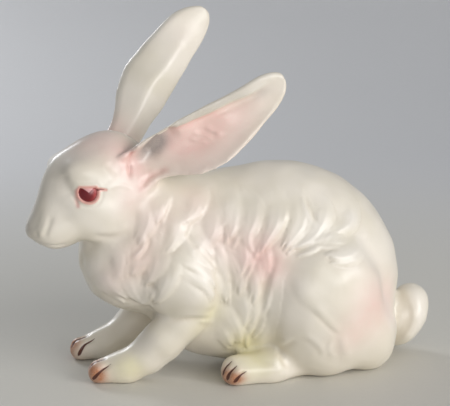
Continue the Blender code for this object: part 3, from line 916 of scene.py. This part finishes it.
# Airbrushed colour, and painted shade in the 'shade' spots on the face: centre, radius and strength of each
# soft spot, both sides alike
paint = {
    "blush": (
        ((-19.7, -11.9, 38.7), 5.5, 0.4), ((-23.2, -12.0, 29.6), 5.0, 0.5),
            ((-29.0, -10.0, 25.0), 4.0, 0.3),
        ((3.2, -15.2, 30.2), 6.0, 0.8), ((6.0, -16.5, 27.5), 4.0, 0.5), ((-5.0, -13.0, 33.5), 4.5, 0.4),
        ((31.2, -19.9, 18.0), 6.5, 0.75), ((24.0, -21.0, 12.0), 4.5, 0.4),
            ((36.5, -12.0, 18.0), 4.5, 0.5),
        ((-25.2, -11.0, 43.3), 3.5, 0.35), ((-25.1, -8.6, 51.9), 4.0, 0.5),
            ((-24.5, -8.7, 50.6), 2.5, 0.5),
        ((-22.0, -9.0, 47.5), 3.5, 0.5), ((-10.0, -11.0, 45.0), 4.0, 0.35),
            ((20.6, -20.0, 40.0), 4.0, 0.1),
        ((-6.0, -10.0, 79.0), 5.0, 0.5), ((-9.5, 15.0, 80.0), 5.0, 0.5),
            ((-30.5, -4.5, 56.5), 6.0, 0.4),
        ((-26.0, -7.5, 54.5), 5.0, 0.3), ((-34.5, -6.0, 54.5), 4.5, 0.2),
            ((-9.5, -13.0, 41.0), 5.0, 0.3),
    ),
    "moss": (
        ((-7.5, -13.4, 16.9), 3.2, 0.6), ((1.2, -10.8, 6.8), 4.5, 0.9), ((3.8, -17.1, 5.9), 3.8, 0.6),
        ((-10.0, -12.5, 12.8), 3.0, 0.4), ((-25.3, -10.8, 4.2), 2.8, 0.95),
            ((-28.6, -10.0, 3.4), 3.0, 0.4),
        ((-28.0, 8.0, 4.0), 3.6, 0.5), ((-21.5, 9.5, 7.0), 4.0, 0.4), ((-1.0, -17.5, 4.6), 3.0, 0.3),
        ((-12.0, -9.0, 34.0), 2.5, 0.25), ((0.0, -12.0, 12.0), 4.0, 0.3),
            ((-14.0, -11.0, 18.0), 3.0, 0.25),
    ),
    "paw": (
        ((-34.7, -8.4, 2.2), 3.1, 1.15), ((-32.8, -10.4, 2.2), 2.3, 0.65),
            ((-33.7, -6.6, 4.4), 1.9, 0.5),
        ((-4.6, -16.4, 2.2), 2.3, 1.0), ((-3.4, -18.2, 2.0), 2.0, 0.9), ((-1.4, -19.4, 2.2), 1.6, 0.7),
    ),
    "shade": (
        ((-47.5, -7.5, 37.0), 2.6, 0.6), ((-46.0, -6.0, 41.0), 2.6, 0.3),
            ((-40.8, -9.0, 48.3), 2.6, 0.4),
        ((-37.5, -7.5, 52.8), 4.0, 0.3), ((-33.0, -5.0, 56.0), 5.0, 0.18),
            ((-44.0, -5.5, 44.5), 3.0, 0.25),
    ),
}


def paintField(points, spots):
    total = np.zeros(len(points))
    mirror = points.copy()
    mirror[:, 1] = -np.abs(mirror[:, 1])
    mirror[(points[:, 1] > 0) & (points[:, 0] < -20) & (points[:, 2] < 9)] += lead
    for centre, radius, strength in spots:
        total += strength * np.exp(-((lengthOf(mirror - np.array(centre)) / radius) ** 2))
    return np.clip(total, 0, 1)


# Colour inside the ears: pink paint, with grey painted shade in the hollow, on the band past the rim line
# and at the tip. Each spot: place and reach along, place and reach across, strength
earColour = {
    "strong": (0.39, 0.15, 0.2, 3.0, 1.0),
    "wide": (0.46, 0.3, -2.5, 5.5, 0.55),
    "far": (0.7, 0.14, -1.0, 3.0, 0.15),
    "tipShade": (0.84, 0.05, -0.2, 1.4, 0.3),
    "hollow": (0.165, 0.1, 1.6, 2.0, 1.5),
    "hollowLean": 4.0,
    "band": 0.4,
    "rimAlong": (0.1, 0.3, 0.42, 0.51, 0.66, 0.76, 0.84, 1.0),
    "rimAcross": (5.4, 3.2, 2.6, 1.9, 1.4, 0.7, 0.6, 1.2),
}


def earSpot(t, a, name, lean=0.0):
    along, alongReach, across, acrossReach, strength = earColour[name]
    sideways = (a - across - lean * (t - along)) / acrossReach
    return strength * np.exp(-(((t - along) / alongReach) ** 2) - sideways**2)


def earPinkAndShade(points):
    pink, shadeGrey = np.zeros(len(points)), np.zeros(len(points))
    for ear in (ears["left"], ears["right"]):
        t, a, n, span = earPlace(points, ear)
        cup = earSheet(np.clip(t, 0, 1), a, ear)[1]
        here = within(np.stack([t, a, n - cup], axis=1), ((-0.06, -10, -3.5), (1.02, 10, 3.5)))
        inside = smoothStep(-0.1, 0.6, n - cup) * here
        past = a - np.interp(t, earColour["rimAlong"], earColour["rimAcross"])
        below = smoothStep(0.35, -0.35, past)
        salmon = earSpot(t, a, "strong") + earSpot(t, a, "wide") + earSpot(t, a, "far")
        pink = np.maximum(pink, salmon * below * inside)
        ends = smoothStep(0.2, 0.4, t) * smoothStep(0.9, 0.6, t)
        band = earColour["band"] * smoothStep(0.2, 0.8, past) * ends
        # Grey painted shade in the hollow, on the band past the rim line and at the tip
        shades = earSpot(t, a, "hollow", earColour["hollowLean"]) + band + earSpot(t, a, "tipShade")
        shadeGrey = np.maximum(shadeGrey, shades * inside)
    return pink, shadeGrey


def lineField(points, places, width):
    h = toHead(points)
    h[:, 1] = np.abs(h[:, 1])
    return np.exp(-((nearLine(h, smoothLine(places))[0] / width) ** 2))


def fieldOn(mesh, name, values):
    attribute = mesh.attributes.new(name, "FLOAT", "POINT")
    attribute.data.foreach_set("value", np.asarray(values, np.float32))


earPink, paintedShade = earPinkAndShade(start)
tearDuct = lineField(start, eye["tearDuct"], 0.5)
grooveTop, grooveFoot = face["earGroove"][0][0], face["earGroove"][0][-1]
fading = smoothStep(grooveFoot[2], grooveTop[2], toHead(start)[:, 2])
earRed = lineField(start, face["earGroove"][0], 0.55) * (0.25 + 0.75 * fading)
earRed = np.maximum(earRed, 0.45 * lineField(start, face["earFoot"][0], 0.9))
for name, values in (
    ("eyeEdge", eyeEdge), ("cornerEdge", cornerEdge), ("eyeA", eyeA), ("eyeB", eyeB), ("claw", claw),
    ("relief", hair), ("blush", np.clip(paintField(start, paint["blush"]) + earPink * 1.5, 0, 1)),
    ("moss", paintField(start, paint["moss"])), ("paw", paintField(start, paint["paw"])),
    # painted shade in the ears and on the face
    ("paintedShade", np.clip(paintedShade + paintField(start, paint["shade"]) * 0.7, 0, 1)),
    ("tearDuct", tearDuct), ("earRed", earRed),
):
    fieldOn(mesh, name, values)
print("stage 6: painted fields")

rabbit = bpy.data.objects.new("rabbitBody", mesh)
bpy.context.scene.collection.objects.link(rabbit)
mesh.shade_smooth()
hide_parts("rabbit")
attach(rabbit, "root")

glazeLook = {
    "ivory": (0.86, 0.80, 0.70),
    "cream": (0.80, 0.74, 0.62),
    # crown: painted highlight, a lighter ivory on the raised crowns of the fur
    "crown": (0.90, 0.86, 0.80),
    # groove: painted shade, a darker beige in the hollows of the fur
    "groove": (0.60, 0.52, 0.40),
    "pink": (0.88, 0.53, 0.48),
    "moss": (0.80, 0.74, 0.42),
    "paw": (0.47, 0.16, 0.05),
    # painted shade: grey for the ear hollows, the ears' rolled band and the shaded face
    "shadeGrey": (0.30, 0.265, 0.25),
    "red": (0.55, 0.14, 0.11),
    "claw": (0.10, 0.026, 0.012),
    "lid": (0.80, 0.36, 0.30),
    "eyeDark": (0.17, 0.006, 0.010),
    # eyeLight: the lighter red of a painted reflection on the eye's rear side
    "eyeLight": (0.38, 0.05, 0.05),
    # glint: painted reflection of a window on the eye
    "paintedGlint": (0.85, 0.46, 0.44),
    "pit": (-1.4, -15.0, 20.5),  # a pinhole in the glaze of the flank, painted as a dark dot: painted shade in a hole that is not cut
    "pitSize": (0.0005, 0.0003),
    "roughness": 0.36,
    "coat": 0.3,
    "coatRoughness": 0.2,
    "roughnessSwing": 0.14,
    "bump": (0.12, 0.0006),  # strength and height in metres
    "strength": {"blush": 0.66, "moss": 0.75, "paw": 0.82, "paintedShade": 0.8, "earRed": 0.6, "tearDuct": 0.55},
    "tints": {
        "blush": "pink", "moss": "moss", "paw": "paw",
        "paintedShade": "shadeGrey", "earRed": "red", "tearDuct": "red",
    },
    "speckle": 1500.0,
    "clouds": 38.0,
}


def makeNode(tree, kind, **values):
    made = tree.nodes.new(kind)
    for key, value in values.items():
        setattr(made, key, value)
    return made


def fieldOf(tree, name):
    return makeNode(tree, "ShaderNodeAttribute", attribute_name=name).outputs["Fac"]


def plug(tree, socket, value):
    if isinstance(value, bpy.types.NodeSocket):
        tree.links.new(value, socket)
    else:
        socket.default_value = (*value, 1) if isinstance(value, tuple) and len(value) == 3 else value


def calc(tree, operation, first, second=0.0, clamp=False):
    made = makeNode(tree, "ShaderNodeMath", operation=operation, use_clamp=clamp)
    plug(tree, made.inputs[0], first)
    plug(tree, made.inputs[1], second)
    return made.outputs[0]


def ramped(tree, value, low, high):
    made = makeNode(tree, "ShaderNodeMapRange", interpolation_type="SMOOTHSTEP")
    plug(tree, made.inputs["Value"], value)
    made.inputs["From Min"].default_value = low
    made.inputs["From Max"].default_value = high
    return made.outputs["Result"]


def under(tree, value, edge, soft):
    return calc(tree, "SUBTRACT", 1.0, ramped(tree, value, edge - soft, edge + soft))


def mixed(tree, share, first, second):
    made = makeNode(tree, "ShaderNodeMix", data_type="RGBA")
    plug(tree, made.inputs[0], share)
    plug(tree, made.inputs[6], first)
    plug(tree, made.inputs[7], second)
    return made.outputs[2]


def noiseOf(tree, place, scale, detail):
    made = makeNode(tree, "ShaderNodeTexNoise")
    tree.links.new(place, made.inputs["Vector"])
    made.inputs["Scale"].default_value = scale
    made.inputs["Detail"].default_value = detail
    return made.outputs["Fac"]


def glazeMaterial():
    look = glazeLook
    material = bpy.data.materials.new("paintedIvoryGlaze")
    material.use_nodes = True
    tree = material.node_tree
    surface = tree.nodes["Principled BSDF"]
    place = makeNode(tree, "ShaderNodeTexCoord").outputs["Object"]
    clouds = noiseOf(tree, place, look["clouds"], 2.0)
    speckle = noiseOf(tree, place, look["speckle"], 1.0)
    mottle = noiseOf(tree, place, look["clouds"] * 5, 3.0)
    spray = calc(tree, "ADD", 0.55, calc(tree, "MULTIPLY", 0.45, calc(tree, "ADD", speckle, mottle)))

    colour = mixed(tree, ramped(tree, clouds, 0.35, 0.65), look["ivory"], look["cream"])
    relief = fieldOf(tree, "relief")
    # Painted highlight: the raised crowns of the tufts are painted lighter
    colour = mixed(tree, calc(tree, "MULTIPLY", ramped(tree, relief, 0.1, 0.8), 0.5), colour, look["crown"])
    # Painted shade: the hollows between tufts are painted darker
    share = calc(tree, "MULTIPLY", under(tree, relief, -0.15, 0.25), 0.55)
    colour = mixed(tree, share, colour, look["groove"])
    for name, tint in look["tints"].items():
        share = calc(tree, "MULTIPLY", fieldOf(tree, name), look["strength"][name])
        share = calc(tree, "MULTIPLY", share, spray, True)
        colour = mixed(tree, share, colour, look[tint])

    uneven = calc(tree, "SUBTRACT", mottle, 0.5)
    claw = calc(tree, "ADD", fieldOf(tree, "claw"), calc(tree, "MULTIPLY", uneven, 0.25))
    colour = mixed(tree, under(tree, claw, 0.0, 0.09), colour, look["claw"])

    edge, corner = fieldOf(tree, "eyeEdge"), fieldOf(tree, "cornerEdge")
    a, b = fieldOf(tree, "eyeA"), fieldOf(tree, "eyeB")
    colour = mixed(tree, calc(tree, "MULTIPLY", under(tree, edge, 0.55, 0.3), 0.85), colour, look["lid"])
    colour = mixed(tree, calc(tree, "MULTIPLY", under(tree, corner, 0.25, 0.2), 0.7), colour, look["lid"])
    share = calc(tree, "MULTIPLY", under(tree, corner, -0.05, 0.1), 0.8)
    colour = mixed(tree, share, colour, look["eyeDark"])
    # Painted reflection: the eye's red turns lighter towards its rear
    forward = ramped(tree, calc(tree, "SUBTRACT", 0.0, a), 0.0, 1.4)
    ball = mixed(tree, forward, look["eyeDark"], look["eyeLight"])
    ball = mixed(tree, ramped(tree, mottle, 0.45, 0.7), ball, look["eyeDark"])
    # Painted reflection: a pale V at the top of the eye stands for a window's glint
    notch = calc(tree, "ADD", 0.6, calc(tree, "MULTIPLY", calc(tree, "ABSOLUTE", a), 0.8))
    notch = calc(tree, "SUBTRACT", notch, b)
    ball = mixed(tree, calc(tree, "MULTIPLY", under(tree, notch, 0.0, 0.12), 0.9), ball, look["paintedGlint"])
    colour = mixed(tree, under(tree, edge, -0.02, 0.07), colour, ball)

    # Painted shade: a dark dot at the pinhole, with no hole in the mesh
    pit = makeNode(tree, "ShaderNodeVectorMath", operation="DISTANCE")
    tree.links.new(place, pit.inputs[0])
    pit.inputs[1].default_value = tuple((np.array(look["pit"]) - middle) * unit)
    colour = mixed(tree, under(tree, pit.outputs["Value"], *look["pitSize"]), colour, look["claw"])
    tree.links.new(colour, surface.inputs["Base Color"])

    rough = calc(tree, "ADD", look["roughness"], calc(tree, "MULTIPLY", uneven, look["roughnessSwing"]))
    tree.links.new(rough, surface.inputs["Roughness"])
    surface.inputs["Coat Weight"].default_value = look["coat"]
    surface.inputs["Coat Roughness"].default_value = look["coatRoughness"]
    bump = makeNode(tree, "ShaderNodeBump")
    bump.inputs["Strength"].default_value, bump.inputs["Distance"].default_value = look["bump"]
    tree.links.new(mottle, bump.inputs["Height"])
    tree.links.new(bump.outputs["Normal"], surface.inputs["Normal"])
    return material


mesh.materials.clear()
mesh.materials.append(glazeMaterial())
print("stage 7: glaze")

view = {
    "azimuth": -12.0,
    "elevation": 13.0,
    "distance": 360.0,
    "target": (-1.2, 0.0, 39.0),
    "unitsPerPixel": 0.2333,
    "pictureWidth": 450,
}


def placeCamera():
    a, e = math.radians(view["azimuth"]), math.radians(view["elevation"])
    back = Vector((math.sin(a) * math.cos(e), -math.cos(a) * math.cos(e), math.sin(e)))
    camera = bpy.data.objects.new("camera", bpy.data.cameras.new("camera"))
    bpy.context.scene.collection.objects.link(camera)
    camera.location = ((Vector(view["target"]) - Vector(middle)) + back * view["distance"]) * unit
    camera.rotation_mode = "QUATERNION"
    camera.rotation_quaternion = back.to_track_quat("Z", "Y")
    camera.data.sensor_width = 36
    across = view["unitsPerPixel"] * view["pictureWidth"]
    camera.data.lens = camera.data.sensor_width * view["distance"] / across
    camera.data.clip_start = 0.01
    bpy.context.scene.camera = camera


placeCamera()

# The bowl the rabbit stands in, and the lights: place, aim, size, power and colour of each
studio = {
    "profile": ((0.0, 0, 0.0), (0.6, 0, 0.0), (0.8, 0, 0.02), (1.0, 0, 0.08), (1.15, 0, 0.16),
        (1.25, 0, 0.26)),
    "floor": (0.70, 0.68, 0.62),
    "wall": (0.72, 0.72, 0.725),
    "wallFrom": (0.12, 0.62),
    "wallRoughness": 0.6,
    "grain": (0.38, 0.38, 0.37),
    "grainScale": 400.0,
    "grainShare": 0.04,
    "air": (0.62, 0.64, 0.67),
    "airStrength": 0.44,
    "window": ((1.05, -1.0, 0.62), (0.0, 0.0, 0.07), (0.75, 0.8), 8.9, (1.0, 0.985, 0.975)),
    "softBox": ((0.36, -1.02, 0.32), (0.0, 0.0, 0.04), (0.9, 0.4), 4.8, (1.0, 0.99, 0.985)),
    "rim": ((-0.5, 0.95, 0.6), (-0.03, 0.0, 0.1), (0.3, 0.5), 4.0, (0.95, 0.97, 1.0)),
}


def addLight(name, place, aim, size, power, colour):
    lamp = bpy.data.lights.new(name, "AREA")
    lamp.shape = "RECTANGLE"
    lamp.size, lamp.size_y = size
    lamp.energy = power
    lamp.color = colour
    holder = bpy.data.objects.new(name, lamp)
    bpy.context.scene.collection.objects.link(holder)
    holder.location = place
    holder.rotation_mode = "QUATERNION"
    holder.rotation_quaternion = (Vector(place) - Vector(aim)).to_track_quat("Z", "Y")


def buildBackdrop():
    form = bmesh.new()
    places = [form.verts.new(place) for place in studio["profile"]]
    edges = [form.edges.new(pair) for pair in zip(places, places[1:])]
    bmesh.ops.spin(
        form, geom=places + edges, axis=(0, 0, 1), cent=(0, 0, 0), steps=64, angle=math.tau, use_merge=True
    )
    bmesh.ops.remove_doubles(form, verts=form.verts, dist=0.0001)
    bmesh.ops.recalc_face_normals(form, faces=form.faces)
    data = bpy.data.meshes.new("backdrop")
    form.to_mesh(data)
    form.free()
    data.shade_smooth()
    backdrop = bpy.data.objects.new("backdrop", data)
    bpy.context.scene.collection.objects.link(backdrop)
    paper = bpy.data.materials.new("palePaper")
    paper.use_nodes = True
    tree = paper.node_tree
    surface = tree.nodes["Principled BSDF"]
    place = makeNode(tree, "ShaderNodeTexCoord").outputs["Object"]
    away = makeNode(tree, "ShaderNodeVectorMath", operation="LENGTH")
    tree.links.new(place, away.inputs[0])
    share = ramped(tree, away.outputs["Value"], *studio["wallFrom"])
    colour = mixed(tree, share, studio["floor"], studio["wall"])
    grain = ramped(tree, noiseOf(tree, place, studio["grainScale"], 2.0), 0.2, 0.8)
    colour = mixed(tree, calc(tree, "MULTIPLY", grain, studio["grainShare"]), colour, studio["grain"])
    tree.links.new(colour, surface.inputs["Base Color"])
    surface.inputs["Roughness"].default_value = studio["wallRoughness"]
    data.materials.append(paper)


def lightStudio():
    world = bpy.data.worlds.new("studioAir")
    bpy.context.scene.world = world
    world.use_nodes = True
    air = world.node_tree.nodes["Background"]
    air.inputs["Color"].default_value = (*studio["air"], 1)
    air.inputs["Strength"].default_value = studio["airStrength"]
    for name in ("window", "softBox", "rim"):
        addLight(name, *studio[name])


buildBackdrop()
lightStudio()
bpy.context.scene.view_settings.view_transform = "Standard"
print("stage 8: camera, light and backdrop")
